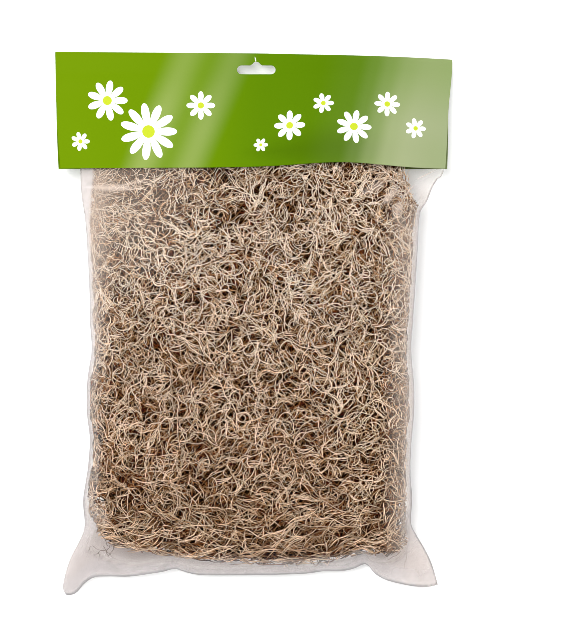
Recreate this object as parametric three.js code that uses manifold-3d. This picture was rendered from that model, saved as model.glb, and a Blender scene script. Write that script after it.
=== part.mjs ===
// A bunch of dried Spanish moss in a clear film bag, closed by a folded header card with a hang slot.
// Millimetres, +Z up. The bag lies on its back: X runs across it, +Y runs towards the card's fold, and
// the origin is on the surface it lies on, under the middle of its outline.
// Places along the bag are given by "down", the distance from the card's fold towards the weld.

import * as THREE from "three";
import { mergeVertices } from "three/addons/utils/BufferGeometryUtils.js";
import Module from "manifold-3d";

const wasm = await Module();
wasm.setup();
const { clamp, lerp, smoothstep } = THREE.MathUtils;

// ---- Driving dimensions ---------------------------------------------------------------------------

const LENGTH = 450; // from the card's fold to the tips of the bag's bottom corners
const CARD = { width: 330, height: 96.2, board: 0.5 };
const SLOT = { x: 2, width: 32, height: 7.4, down: 13.8, humpWidth: 10, humpHeight: 3 };
const BAG = { mouth: 24, film: 0.5, mouthGap: 0.4, looseGap: 3.4, clearance: 0.35 };
const BODY = { top: 72, neckStart: 12, neckEnd: 150, taperFrom: 0.7, taperEnd: 0.975 };
const EDGE = { fold: 15, body: 31, weld: 10, riseEnd: 150, fallFrom: 330, fallEnd: 436 };
const MOSS = { top: 52, core: 8, strand: 3.2, strands: 106 };

// Plan of the bag's two side edges and its bottom edge, as [x, down].
const LEFT_EDGE = [
  [-147, 24], [-145, 62], [-143.5, 97], [-142, 119], [-139, 139], [-137.2, 163], [-135.5, 200], [-135.2, 222],
  [-133.8, 246], [-137.2, 270], [-137.8, 296], [-135.3, 320], [-137.2, 345], [-141.2, 370], [-140.3, 392],
  [-145, 405], [-151, 416], [-155, 426], [-158, 437], [-159, 445], [-156.5, 450],
];
const RIGHT_EDGE = [
  [150, 24], [155, 62], [158.5, 97], [151.5, 105], [144, 118], [138.5, 127], [136.3, 138], [135.5, 160],
  [133.5, 192], [131.5, 222], [130, 246], [132.3, 275], [132.3, 298], [130, 325], [129.5, 349], [131, 370],
  [130.2, 389], [134.5, 399], [141, 410], [146.5, 421], [150, 431], [153, 441.5],
];
const BOTTOM_EDGE = [
  [-156.5, 450], [-152, 450], [-147, 447.5], [-141, 440.5], [-133, 435.4], [-122, 434.5], [-104, 434.5],
  [-86, 432], [-75, 430.3], [-65.5, 428], [-57, 430.8], [-44, 433.2], [-16, 433.5], [20, 432.8], [44, 432],
  [58, 430], [72, 430], [83, 428], [93, 424], [100, 431.5], [108, 436.5], [119, 439.8], [134, 442.8],
  [145, 443.2], [153, 441.5],
];

// Where the moss ends, short of the weld and the bottom corners, as [x, down].
const MOSS_FOOT = [
  [-138, 368], [-134, 382], [-127, 395], [-120, 404], [-97, 410], [-59, 418], [-30, 422], [20, 425],
  [52, 425], [82, 418.5], [97, 415], [118, 410], [125, 402], [128, 390], [132, 360],
];

// Faces of the bag's grid: cells across and along, and the width of the flat fin round the edge.
const GRID = { across: 18, along: 24, fin: 4 };

// ---- Shape of the filled bag ----------------------------------------------------------------------

const spline = (points) => new THREE.SplineCurve(points.map(([x, down]) => new THREE.Vector2(x, down)));
const leftEdge = spline(LEFT_EDGE);
const rightEdge = spline(RIGHT_EDGE);
const bottomEdge = spline(BOTTOM_EDGE);
const mouthEdge = spline([LEFT_EDGE[0], RIGHT_EDGE[0]]);

// The point of the bag's plan at a share u across and v along: a patch stretched between its four edges.
function planPoint(u, v) {
  const left = leftEdge.getPointAt(v);
  const right = rightEdge.getPointAt(v);
  const top = mouthEdge.getPointAt(u);
  const bottom = bottomEdge.getPointAt(u);
  const corners = new THREE.Vector2()
    .addScaledVector(mouthEdge.getPoint(0), (1 - u) * (1 - v))
    .addScaledVector(mouthEdge.getPoint(1), u * (1 - v))
    .addScaledVector(bottomEdge.getPoint(0), (1 - u) * v)
    .addScaledVector(bottomEdge.getPoint(1), u * v);
  return new THREE.Vector2()
    .addScaledVector(left, 1 - u)
    .addScaledVector(right, u)
    .addScaledVector(top, 1 - v)
    .addScaledVector(bottom, v)
    .sub(corners);
}

// Height of the side edges, the weld and the card's fold above the surface below.
function edgeHeight(x, down) {
  const level =
    EDGE.fold +
    (EDGE.body - EDGE.fold) * smoothstep(down, 0, EDGE.riseEnd) -
    (EDGE.body - EDGE.weld) * smoothstep(down, EDGE.fallFrom, EDGE.fallEnd);
  const side = x / (CARD.width / 2);
  const cardDroop = (side > 0 ? 9 : 3) * side * side * (1 - smoothstep(down, 0, 150));
  const cornerDroop = 5 * side ** 4 * smoothstep(down, 385, 445);
  return level - cardDroop - cornerDroop;
}

// How full the neck is along its length: shut at the card's fold and full where the body begins.
const neckFullness = (down) => smoothstep(down, BODY.neckStart, BODY.neckEnd) ** 0.8;

// The arc across the neck and the card. The front has most of its bulge right of the middle.
function cardArc(x, isFront) {
  const share = x / (CARD.width / 2);
  if (!isFront) return 1 - share ** 2;
  return (1 - share ** 4) * (0.3 + 0.7 * Math.exp(-(((x - 80) / 67) ** 2)));
}

// How full the bag is at u, v: a flattened arc in the neck and a pillow with round corners in the body.
function fullness(u, v, isFront) {
  const { x, y: down } = planPoint(u, v);
  const across = Math.abs(2 * u - 1);
  const taper = clamp((v - BODY.taperFrom) / (BODY.taperEnd - BODY.taperFrom), 0, 1);
  const pillow = Math.max(0, 1 - (across / 0.978) ** 5 - taper ** 4) ** 0.45;
  const neck = cardArc(x, isFront) * (1 - across ** 8);
  return neckFullness(down) * lerp(neck, pillow, smoothstep(v, 0.17, 0.42));
}

// Soft swells of the stuffed front, none under the card.
const swell = (x, down) =>
  smoothstep(down, 90, 160) *
  (1.5 * Math.sin(x / 23 + 1.3) * Math.sin(down / 29 + 0.4) + 1.1 * Math.sin(x / 41 - down / 33 + 2));

// Outer front and back of the bag at u, v, with their place in the part's frame.
function bagAt(u, v) {
  const { x, y: down } = planPoint(u, v);
  const edge = edgeHeight(x, down);
  const full = fullness(u, v, true);
  const across = Math.abs(2 * u - 1);
  const loose = lerp(BAG.mouthGap, BAG.looseGap, smoothstep(v, 0.1, 0.4)) * (1 - across ** 14) * (1 - v ** 40);
  const half = BAG.film + loose / 2;
  const front = edge + half + (BODY.top - EDGE.body - half) * full + swell(x, down) * smoothstep(full, 0.2, 0.9);
  const back = (edge - half) * (1 - Math.min(1, fullness(u, v, false) / 0.94));
  return { x, y: LENGTH / 2 - down, front, back };
}

// ---- Mesh helpers ---------------------------------------------------------------------------------

// Collects numbered points and faces, and joins them into one closed geometry.
class Shell {
  points = [];
  faces = [];
  point(x, y, z) {
    this.points.push(x, y, z);
    return this.points.length / 3 - 1;
  }
  // A face with its corners anticlockwise as seen from outside; corners that coincide are dropped.
  face(...corners) {
    const kept = corners.filter((corner, i) => corner !== corners[(i + 1) % corners.length]);
    for (let i = 2; i < kept.length; i++) this.faces.push(kept[0], kept[i - 1], kept[i]);
  }
  geometry() {
    const made = new THREE.BufferGeometry();
    made.setAttribute("position", new THREE.Float32BufferAttribute(this.points, 3));
    made.setIndex(this.faces);
    return made;
  }
}

function solidOf(geometry) {
  const bare = geometry.clone();
  bare.deleteAttribute("normal");
  bare.deleteAttribute("uv");
  const merged = mergeVertices(bare, 1e-3);
  const mesh = new wasm.Mesh({
    numProp: 3,
    vertProperties: merged.attributes.position.array,
    triVerts: new Uint32Array(merged.index.array),
  });
  return new wasm.Manifold(mesh);
}

function geometryOf(solid) {
  const mesh = solid.getMesh();
  const made = new THREE.BufferGeometry();
  made.setAttribute("position", new THREE.BufferAttribute(Float32Array.from(mesh.vertProperties), 3));
  made.setIndex(new THREE.BufferAttribute(Uint32Array.from(mesh.triVerts), 1));
  made.computeVertexNormals();
  return made;
}

// ---- The film bag ---------------------------------------------------------------------------------

// Grid lines as shares from 0 to 1, closer together towards both edges, with a fin at the outer cells.
function gridLines(cells, fin, crowding) {
  const lines = [0];
  for (let i = 0; i <= cells - 2; i++) {
    const share = i / (cells - 2);
    const crowded = 0.5 - 0.5 * Math.cos(Math.PI * share);
    lines.push(lerp(fin, 1 - fin, lerp(share, crowded, crowding)));
  }
  return [...lines, 1];
}

const bagWidth = planPoint(1, 0.5).x - planPoint(0, 0.5).x;
const acrossLines = gridLines(GRID.across, GRID.fin / bagWidth, 0.6);
const finAlong = GRID.fin / (LENGTH - BAG.mouth);
const alongLines = gridLines(GRID.along, finAlong, 0.45);
alongLines.splice(1, 1); // the mouth is open, so it has no fin
const lastAcross = acrossLines.length - 1;
const lastAlong = alongLines.length - 1;
const bagGrid = acrossLines.map((u) => alongLines.map((v) => bagAt(u, v)));

// A surface of the grid over columns i0 to i1 and rows j0 to j1, facing up or down.
function gridFaces(shell, at, [i0, i1], [j0, j1], faceUp) {
  for (let i = i0; i < i1; i++)
    for (let j = j0; j < j1; j++) {
      const [a, b, c, d] = [at[i][j], at[i][j + 1], at[i + 1][j + 1], at[i + 1][j]];
      shell.face(...(faceUp ? [a, b, c, d] : [a, d, c, b]));
    }
}

// The bag: a cup of film whose inside follows the outside one wall in, open at the mouth. Its inner
// faces meet in one line along the sides and the weld, which leaves a solid fin outside that line.
function filmBag() {
  const shell = new Shell();
  const front = bagGrid.map((column) => column.map((p) => shell.point(p.x, p.y, p.front)));
  const back = bagGrid.map((column) => column.map((p) => shell.point(p.x, p.y, p.back)));
  const innerFront = [];
  const innerBack = [];
  bagGrid.forEach((column, i) => {
    innerFront.push([]);
    innerBack.push([]);
    column.forEach((p, j) => {
      const welded = i <= 1 || i >= lastAcross - 1 || j >= lastAlong - 1;
      const middle = (p.front + p.back) / 2;
      const upper = shell.point(p.x, p.y, welded ? middle : p.front - BAG.film);
      innerFront[i].push(upper);
      innerBack[i].push(welded ? upper : shell.point(p.x, p.y, p.back + BAG.film));
    });
  });
  gridFaces(shell, front, [0, lastAcross], [0, lastAlong], true);
  gridFaces(shell, back, [0, lastAcross], [0, lastAlong], false);
  gridFaces(shell, innerFront, [1, lastAcross - 1], [0, lastAlong - 1], false);
  gridFaces(shell, innerBack, [1, lastAcross - 1], [0, lastAlong - 1], true);
  for (let j = 0; j < lastAlong; j++) {
    shell.face(front[0][j], back[0][j], back[0][j + 1], front[0][j + 1]);
    shell.face(front[lastAcross][j + 1], back[lastAcross][j + 1], back[lastAcross][j], front[lastAcross][j]);
  }
  for (let i = 0; i < lastAcross; i++)
    shell.face(front[i][lastAlong], back[i][lastAlong], back[i + 1][lastAlong], front[i + 1][lastAlong]);
  mouthRim(shell, front, back, innerFront, innerBack);
  return shell.geometry();
}

// The film's cut edge round the mouth, between the outer and the inner faces.
function mouthRim(shell, front, back, innerFront, innerBack) {
  for (let i = 1; i < lastAcross - 1; i++) {
    shell.face(front[i][0], front[i + 1][0], innerFront[i + 1][0], innerFront[i][0]);
    shell.face(back[i][0], innerBack[i][0], innerBack[i + 1][0], back[i + 1][0]);
  }
  const end = lastAcross;
  shell.face(front[0][0], front[1][0], innerFront[1][0], back[1][0], back[0][0]);
  shell.face(front[end][0], back[end][0], back[end - 1][0], innerFront[end - 1][0], front[end - 1][0]);
}

// ---- The header card ------------------------------------------------------------------------------

// Half the gap between the card's two panels beside the film: nearly shut above the mouth.
const panelGap = (down) =>
  lerp(0.3, BAG.mouthGap / 2 + BAG.film + BAG.clearance, smoothstep(down, SLOT.down + 2, BAG.mouth - 1));

// How far the front or back panel stands off the card's middle at x, down.
function panelRise(x, down, isFront) {
  const edge = edgeHeight(x, down);
  const reach = isFront ? BODY.top - EDGE.body : edge / 0.94;
  const slack = smoothstep(down, BAG.mouth, 60) * (isFront ? 0.9 : 0.4);
  return panelGap(down) + slack + reach * cardArc(x, isFront) * neckFullness(down);
}

// The card: one board folded over the bag's mouth, following the neck, with the slot cut through both
// panels. A panel that rises over the neck covers less of its length, so its lower edge draws back.
function headerCard() {
  const stations = 20;
  const rows = [1, 0.8, 0.6, 0.44, 0.32, 0.25, 0.16, 0.08, 0.012];
  const shell = new Shell();
  const outer = [];
  const inner = [];
  for (let k = 0; k <= stations; k++) {
    const flatX = CARD.width * (k / stations - 0.5);
    const slip = 5 * clamp((flatX - 38) / 127, 0, 1) ** 2;
    const band = { outer: [], inner: [] };
    const add = (x, down, z, outward) => {
      const y = LENGTH / 2 - down;
      band.inner.push(shell.point(x, y, z));
      band.outer.push(shell.point(x, y + outward.y * CARD.board, z + outward.z * CARD.board));
    };
    const panel = (share, isFront) => {
      const rise = panelRise(flatX, CARD.height, isFront) - panelRise(CARD.width / 2, CARD.height, isFront);
      const reach = Math.sqrt(CARD.height ** 2 - rise ** 2);
      const down = CARD.board + share * (reach - CARD.board) + slip * (1 - share);
      const bow = panelRise(60, down, isFront) / CARD.width;
      const skew = 2.4 * share * clamp(flatX / (CARD.width / 2), 0, 1) ** 2;
      const x = flatX * (1 - (8 / 3) * bow ** 2) - skew;
      const sign = isFront ? 1 : -1;
      add(x, down, edgeHeight(x, down) + sign * panelRise(x, down, isFront), { y: 0, z: sign });
    };
    rows.forEach((share) => panel(share, true));
    add(flatX, CARD.board + slip, edgeHeight(flatX, slip), { y: 1, z: 0 });
    [...rows].reverse().forEach((share) => panel(share, false));
    outer.push(band.outer);
    inner.push(band.inner);
  }
  const last = outer[0].length - 1;
  gridFaces(shell, outer, [0, stations], [0, last], false);
  gridFaces(shell, inner, [0, stations], [0, last], true);
  for (let k = 0; k < stations; k++) {
    shell.face(outer[k][0], inner[k][0], inner[k + 1][0], outer[k + 1][0]);
    shell.face(outer[k + 1][last], inner[k + 1][last], inner[k][last], outer[k][last]);
  }
  for (let i = 0; i < last; i++) {
    shell.face(outer[0][i + 1], inner[0][i + 1], inner[0][i], outer[0][i]);
    shell.face(outer[stations][i], inner[stations][i], inner[stations][i + 1], outer[stations][i + 1]);
  }
  return geometryOf(solidOf(shell.geometry()).subtract(slotCutter()));
}

// The hang slot: a bar with round ends and a hump over its middle, in which a peg hook centres itself.
function slotCutter() {
  const end = SLOT.height / 2;
  const straight = SLOT.width / 2 - end;
  const hump = SLOT.humpWidth / 2;
  const outline = new THREE.Shape();
  outline.moveTo(-straight, -end);
  outline.lineTo(straight, -end);
  outline.absarc(straight, 0, end, -Math.PI / 2, Math.PI / 2);
  outline.lineTo(hump, end);
  outline.quadraticCurveTo(hump / 2, end + 0.3, hump / 2, end + SLOT.humpHeight / 2);
  outline.quadraticCurveTo(hump / 2, end + SLOT.humpHeight, 0, end + SLOT.humpHeight);
  outline.quadraticCurveTo(-hump / 2, end + SLOT.humpHeight, -hump / 2, end + SLOT.humpHeight / 2);
  outline.quadraticCurveTo(-hump / 2, end + 0.3, -hump, end);
  outline.lineTo(-straight, end);
  outline.absarc(-straight, 0, end, Math.PI / 2, (3 * Math.PI) / 2);
  const cutter = new THREE.ExtrudeGeometry(outline, { depth: 60, bevelEnabled: false, curveSegments: 5 });
  cutter.translate(SLOT.x, LENGTH / 2 - SLOT.down, -10);
  return solidOf(cutter);
}

// ---- The moss -------------------------------------------------------------------------------------

// Seeded draws, so that the bunch is the same each time.
function seeded(seed) {
  let state = seed;
  return () => {
    state = (state + 0x6d2b79f5) | 0;
    let t = Math.imul(state ^ (state >>> 15), 1 | state);
    t = (t + Math.imul(t ^ (t >>> 7), 61 | t)) ^ t;
    return ((t ^ (t >>> 14)) >>> 0) / 4294967296;
  };
}

// The film's inner face at u, v, a clearance in from the film, with its outward direction and its length
// in millimetres for a whole share across and along.
function skinAt(u, v, isFront) {
  const wall = BAG.film + BAG.clearance;
  const at = (du, dv) => {
    const p = bagAt(u + du, v + dv);
    return new THREE.Vector3(p.x, p.y, isFront ? p.front - wall : p.back + wall);
  };
  const step = 0.012;
  const across = at(step, 0).sub(at(-step, 0)).divideScalar(2 * step);
  const along = at(0, step).sub(at(0, -step)).divideScalar(2 * step);
  const normal = new THREE.Vector3().crossVectors(along, across).multiplyScalar(isFront ? 1 : -1).normalize();
  return { point: at(0, 0), normal, across: across.length(), along: along.length() };
}

// The shares across the bag that the bunch leaves free at its left and its right.
function sideMargins(v) {
  const neck = 1 - smoothstep(v, 0.17, 0.3);
  return [0.012 + 0.05 * neck, 0.014 + 0.09 * neck];
}

// How far down the moss reaches at x, and the share along the bag that this is at a share u across.
function footDown(x) {
  const next = MOSS_FOOT.findIndex(([footX]) => footX > x);
  if (next <= 0) return next === 0 ? MOSS_FOOT[0][1] : MOSS_FOOT[MOSS_FOOT.length - 1][1];
  const [[x0, down0], [x1, down1]] = [MOSS_FOOT[next - 1], MOSS_FOOT[next]];
  return lerp(down0, down1, (x - x0) / (x1 - x0));
}
function footShare(u) {
  let v = 0.95;
  for (let pass = 0; pass < 4; pass++) {
    const { x, y: down } = planPoint(u, v);
    v = clamp(v + (footDown(x) - down) / (LENGTH - BAG.mouth), 0.7, 0.985);
  }
  return v;
}

// The packed inside of the bunch, lumpy with matted strands, which the loose strands stand out of.
function mossCore(random) {
  const shell = new Shell();
  const columns = 18;
  const rows = 24;
  const start = (MOSS.top + 6 - BAG.mouth) / (LENGTH - 20 - BAG.mouth);
  const front = [];
  const back = [];
  const jitter = (size) => size * (2 * random() - 1);
  for (let i = 0; i <= columns; i++) {
    front.push([]);
    back.push([]);
    for (let j = 0; j <= rows; j++) {
      const crowded = (n, of) => 0.5 - 0.5 * Math.cos((Math.PI * n) / of);
      const inner = i > 0 && i < columns && j > 0 && j < rows ? 1 : 0.4;
      const across = lerp(i / columns, crowded(i, columns), 0.45);
      const [left, right] = sideMargins(lerp(start, 0.95, j / rows));
      const u = lerp(left + 0.006, 1 - right - 0.006, across) + jitter(0.01 * inner);
      const v = lerp(start, footShare(u) - 0.004, lerp(j / rows, crowded(j, rows), 0.3)) + jitter(0.007 * inner);
      const p = bagAt(u, v);
      const depth = p.front - p.back;
      const inset = Math.min(MOSS.core, 0.24 * depth);
      const lump = Math.min(3.2, 0.1 * depth);
      front[i].push(shell.point(p.x, p.y, p.front - inset + jitter(lump)));
      back[i].push(shell.point(p.x, p.y, p.back + inset + jitter(lump)));
    }
  }
  gridFaces(shell, front, [0, columns], [0, rows], true);
  gridFaces(shell, back, [0, columns], [0, rows], false);
  for (let j = 0; j < rows; j++) {
    shell.face(front[0][j], back[0][j], back[0][j + 1], front[0][j + 1]);
    shell.face(front[columns][j + 1], back[columns][j + 1], back[columns][j], front[columns][j]);
  }
  for (let i = 0; i < columns; i++) {
    shell.face(front[i][rows], back[i][rows], back[i + 1][rows], front[i + 1][rows]);
    shell.face(front[i + 1][0], back[i + 1][0], back[i][0], front[i][0]);
  }
  return solidOf(shell.geometry());
}

// A three-sided strand along the points, thinning towards its ends.
function strandSolid(points, thickness) {
  const shell = new Shell();
  const rings = points.map((point, n) => {
    const tangent = points[Math.min(n + 1, points.length - 1)].clone().sub(points[Math.max(n - 1, 0)]).normalize();
    const side = new THREE.Vector3().crossVectors(tangent, new THREE.Vector3(0.12, 0.31, 0.94)).normalize();
    const up = new THREE.Vector3().crossVectors(tangent, side);
    const radius = (thickness / 2) * (0.72 + 0.28 * Math.sin((Math.PI * n) / (points.length - 1)));
    return [0, 1, 2].map((corner) => {
      const angle = (2 * Math.PI * corner) / 3;
      const p = point.clone().addScaledVector(side, radius * Math.cos(angle)).addScaledVector(up, radius * Math.sin(angle));
      return shell.point(p.x, p.y, p.z);
    });
  });
  for (let n = 0; n + 1 < rings.length; n++)
    for (let c = 0; c < 3; c++) {
      const d = (c + 1) % 3;
      shell.face(rings[n][c], rings[n][d], rings[n + 1][d], rings[n + 1][c]);
    }
  shell.face(...[...rings[0]].reverse());
  shell.face(...rings[rings.length - 1]);
  return solidOf(shell.geometry());
}

// One curling strand: it leaves the core, runs just under the film and turns back into the core. Strands
// start evenly spread, each a golden share further across than the one before.
function strandPath(n, random) {
  const isFront = n % 3 !== 2;
  const segments = 6;
  const pace = 8.5 + 3.5 * random();
  let u = lerp(0.05, 0.95, (n * 0.618034) % 1);
  let v = lerp(0.085, footShare(u) - 0.01, (n + random()) / MOSS.strands);
  let heading = 2 * Math.PI * random();
  let turn = (random() < 0.5 ? -1 : 1) * lerp(0.25, 0.9, random());
  const lift = lerp(1.9, 5, random());
  const points = [];
  for (let k = 0; k <= segments; k++) {
    const skin = skinAt(u, v, isFront);
    const sunk = Math.abs((2 * k) / segments - 1) ** 4;
    points.push(skin.point.addScaledVector(skin.normal, -lerp(lift, MOSS.core + 5, sunk)));
    const [left, right] = sideMargins(v);
    u = clamp(u + (pace * Math.cos(heading)) / skin.across, left + 0.01, 0.99 - right);
    v = clamp(v + (pace * Math.sin(heading)) / skin.along, 0.07, footShare(u));
    heading += turn;
    turn += 0.5 * (random() - 0.5);
  }
  return points;
}

// A closed solid of the bag's inside, a clearance in from the film, which the bunch is kept to.
function bagInside() {
  const shell = new Shell();
  const firstRow = alongLines.findIndex((v) => planPoint(0.5, v).y > MOSS.top);
  const wall = BAG.film + BAG.clearance;
  const inward = 0.8;
  const upper = [];
  const lower = [];
  bagGrid.forEach((column, i) => {
    upper.push([]);
    lower.push([]);
    column.forEach((p, j) => {
      const closed = i <= 1 || i >= lastAcross - 1 || j >= lastAlong - 1;
      const x = p.x + (i <= 1 ? inward : i >= lastAcross - 1 ? -inward : 0);
      const y = p.y + (j >= lastAlong - 1 ? inward : 0);
      const top = shell.point(x, y, closed ? (p.front + p.back) / 2 : p.front - wall);
      upper[i].push(top);
      lower[i].push(closed ? top : shell.point(x, y, p.back + wall));
    });
  });
  gridFaces(shell, upper, [1, lastAcross - 1], [firstRow, lastAlong - 1], true);
  gridFaces(shell, lower, [1, lastAcross - 1], [firstRow, lastAlong - 1], false);
  for (let i = 1; i < lastAcross - 1; i++)
    shell.face(upper[i + 1][firstRow], lower[i + 1][firstRow], lower[i][firstRow], upper[i][firstRow]);
  return solidOf(shell.geometry());
}

// The bunch: its core and strands joined, kept inside the film, with cut-off scraps left out.
function mossBunch() {
  const random = seeded(20117);
  const strands = [];
  for (let n = 0; n < MOSS.strands; n++) strands.push(strandSolid(strandPath(n, random), MOSS.strand));
  let bunch = wasm.Manifold.union([mossCore(random), ...strands]).intersect(bagInside()).simplify(0.02);
  for (let pass = 0; pass < 3; pass++) {
    const bodies = bunch.decompose().sort((a, b) => b.volume() - a.volume());
    bunch = solidOf(geometryOf(bodies[0]));
  }
  return geometryOf(bunch);
}

// ---- Assembly -------------------------------------------------------------------------------------

const paint = (color, roughness) => new THREE.MeshStandardMaterial({ color, roughness, metalness: 0 });

const cardMesh = new THREE.Mesh(headerCard(), paint(0x6f9a1c, 0.35));
cardMesh.name = "header_card";

const bagMesh = new THREE.Mesh(filmBag(), paint(0xe4dedb, 0.12));
bagMesh.name = "film_bag";
bagMesh.material.transparent = true;
bagMesh.material.opacity = 0.25;

const mossMesh = new THREE.Mesh(mossBunch(), paint(0x9a7d63, 0.9));
mossMesh.name = "moss_bunch";

const baggedMoss = new THREE.Group();
baggedMoss.add(cardMesh, bagMesh, mossMesh);

export default baggedMoss;
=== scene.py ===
"""A bunch of dried Spanish moss in a clear film bag, closed by a folded and printed header card."""

import math

import bpy
import numpy as np
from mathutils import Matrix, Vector


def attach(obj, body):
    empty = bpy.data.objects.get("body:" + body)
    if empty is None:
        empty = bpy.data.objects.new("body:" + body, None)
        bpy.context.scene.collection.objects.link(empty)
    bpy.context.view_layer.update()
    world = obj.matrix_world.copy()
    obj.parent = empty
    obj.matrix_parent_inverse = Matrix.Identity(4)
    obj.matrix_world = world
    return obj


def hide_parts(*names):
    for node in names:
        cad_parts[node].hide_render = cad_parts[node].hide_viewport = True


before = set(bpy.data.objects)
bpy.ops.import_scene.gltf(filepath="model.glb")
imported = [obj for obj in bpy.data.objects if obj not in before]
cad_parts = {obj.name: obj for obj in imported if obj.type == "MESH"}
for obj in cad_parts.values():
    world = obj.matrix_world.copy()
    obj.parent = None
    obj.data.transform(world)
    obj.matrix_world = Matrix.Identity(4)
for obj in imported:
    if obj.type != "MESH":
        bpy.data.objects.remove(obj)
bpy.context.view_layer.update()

# ---- The dried moss -------------------------------------------------------------------------------
# Spanish moss is a plant of wiry grey strands with forked, curling leaves. Dried and stuffed into the
# bag it packs into a springy mat: pale strands lie against the film, and the gaps between them show
# darker strands and the brown matted middle.

MM = 0.001
LENGTH = 450.0  # from the card's fold to the tips of the bag's bottom corners
BAG_MOUTH = 24.0  # every "down" is a distance from the card's fold towards the weld
CARD_WIDTH = 330.0
NECK_START, NECK_END = 12.0, 150.0  # how far down the neck opens and the full body begins
BODY_TOP = 72.0
FOLD_EDGE, BODY_EDGE, WELD_EDGE = 15.0, 31.0, 10.0  # heights of the card's fold, the side seams and the weld
BACK_FLAT = 0.94  # how full the bag is where its back comes to lie on the surface

# The bag's plan: the lines of its two side edges and of its weld, in x and down.
LEFT_EDGE = [(-147, 24), (-145, 62), (-143.5, 97), (-142, 119), (-139, 139), (-137.2, 163), (-135.5, 200)]
LEFT_EDGE += [(-135.2, 222), (-133.8, 246), (-137.2, 270), (-137.8, 296), (-135.3, 320), (-137.2, 345)]
LEFT_EDGE += [(-141.2, 370), (-140.3, 392), (-145, 405), (-151, 416), (-155, 426), (-158, 437), (-159, 445)]
LEFT_EDGE += [(-156.5, 450)]
RIGHT_EDGE = [(150, 24), (154, 62), (157, 97), (152, 104.5), (147.4, 112), (144.8, 119), (142, 125)]
RIGHT_EDGE += [(138, 130.5), (136.3, 142), (135.5, 160), (133.5, 192), (131.5, 222), (130, 246)]
RIGHT_EDGE += [(132.3, 275), (132.3, 298), (130, 325), (129.5, 349), (131, 370), (130.2, 389), (134.5, 399)]
RIGHT_EDGE += [(141, 410), (146.5, 421), (150, 431), (153, 441.5)]
BOTTOM_EDGE = [(-156.5, 450), (-152, 450), (-147, 447.5), (-141, 440.5), (-133, 435.4), (-122, 434.5)]
BOTTOM_EDGE += [(-104, 434.5), (-86, 432), (-75, 430.3), (-65.5, 428), (-57, 430.8), (-44, 433.2)]
BOTTOM_EDGE += [(-16, 433.5), (20, 432.8), (44, 432), (58, 430), (72, 430), (83, 428), (93, 424)]
BOTTOM_EDGE += [(100, 431.5), (108, 436.5), (119, 439.8), (134, 442.8), (145, 443.2), (153, 441.5)]


def lerp(a, b, share):
    """From a to b by a share."""
    return a + (b - a) * share


def smooth(x, low, high):
    """0 below low, 1 above high and eased between them."""
    share = np.clip((np.asarray(x, float) - low) / (high - low), 0, 1)
    return share * share * (3 - 2 * share)


def edge_curve(points):
    """A smooth curve through the points, read by the share of its length."""
    pts = np.array(points, float)
    at = np.linspace(0, 1, 2001) * (len(pts) - 1)
    i = np.minimum(at.astype(int), len(pts) - 2)
    w = (at - i)[:, None]
    before, here, after = pts[np.maximum(i - 1, 0)], pts[i], pts[i + 1]
    slope_in = (after - before) / 2
    slope_out = (pts[np.minimum(i + 2, len(pts) - 1)] - here) / 2
    curve = (
        (2 * here - 2 * after + slope_in + slope_out) * w**3
        + (3 * after - 3 * here - 2 * slope_in - slope_out) * w**2
        + slope_in * w
        + here
    )
    run = np.concatenate([[0], np.cumsum(np.linalg.norm(np.diff(curve, axis=0), axis=1))])
    return lambda share: np.stack([np.interp(share, run / run[-1], curve[:, k]) for k in (0, 1)], -1)


left_edge, right_edge, bottom_edge = map(edge_curve, (LEFT_EDGE, RIGHT_EDGE, BOTTOM_EDGE))
mouth_edge = edge_curve([LEFT_EDGE[0], RIGHT_EDGE[0]])


def plan_point(u, v):
    """x and down of the bag at a share u across and v along, stretched between its four edges."""
    uu, vv = u[..., None], v[..., None]
    sides = (1 - uu) * left_edge(v) + uu * right_edge(v)
    ends = (1 - vv) * mouth_edge(u) + vv * bottom_edge(u)
    mouth_corners = (1 - uu) * mouth_edge(0.0) + uu * mouth_edge(1.0)
    bottom_corners = (1 - uu) * bottom_edge(0.0) + uu * bottom_edge(1.0)
    point = sides + ends - ((1 - vv) * mouth_corners + vv * bottom_corners)
    return point[..., 0], point[..., 1]


def edge_height(x, down):
    """Height of the bag's side edges, weld and mouth, and of the card's fold, above the surface below."""
    level = lerp(FOLD_EDGE, BODY_EDGE, smooth(down, 0, NECK_END))
    level = level - (BODY_EDGE - WELD_EDGE) * smooth(down, 330, 436)
    side = x / (CARD_WIDTH / 2)
    card_droop = np.where(side > 0, 9, 3) * side**2 * (1 - smooth(down, 0, NECK_END))
    corner_droop = 5 * side**4 * smooth(down, 385, 445)
    return level - card_droop - corner_droop


def neck_fullness(down):
    """How far the moss has opened the neck, from 0 in the card's fold to 1 where the body begins."""
    return smooth(down, NECK_START, NECK_END) ** 0.8


def card_arc(x, is_front):
    """The arc across the neck and the card. The front has most of its bulge right of the middle."""
    share = x / (CARD_WIDTH / 2)
    bulge = (1 - share**4) * (0.3 + 0.7 * np.exp(-(((x - 80) / 67) ** 2)))
    return bulge if is_front else 1 - share**2


TAPER_START, TAPER_END = 0.7, 0.984  # the shares of the bag's length between which it thins to the weld


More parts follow.
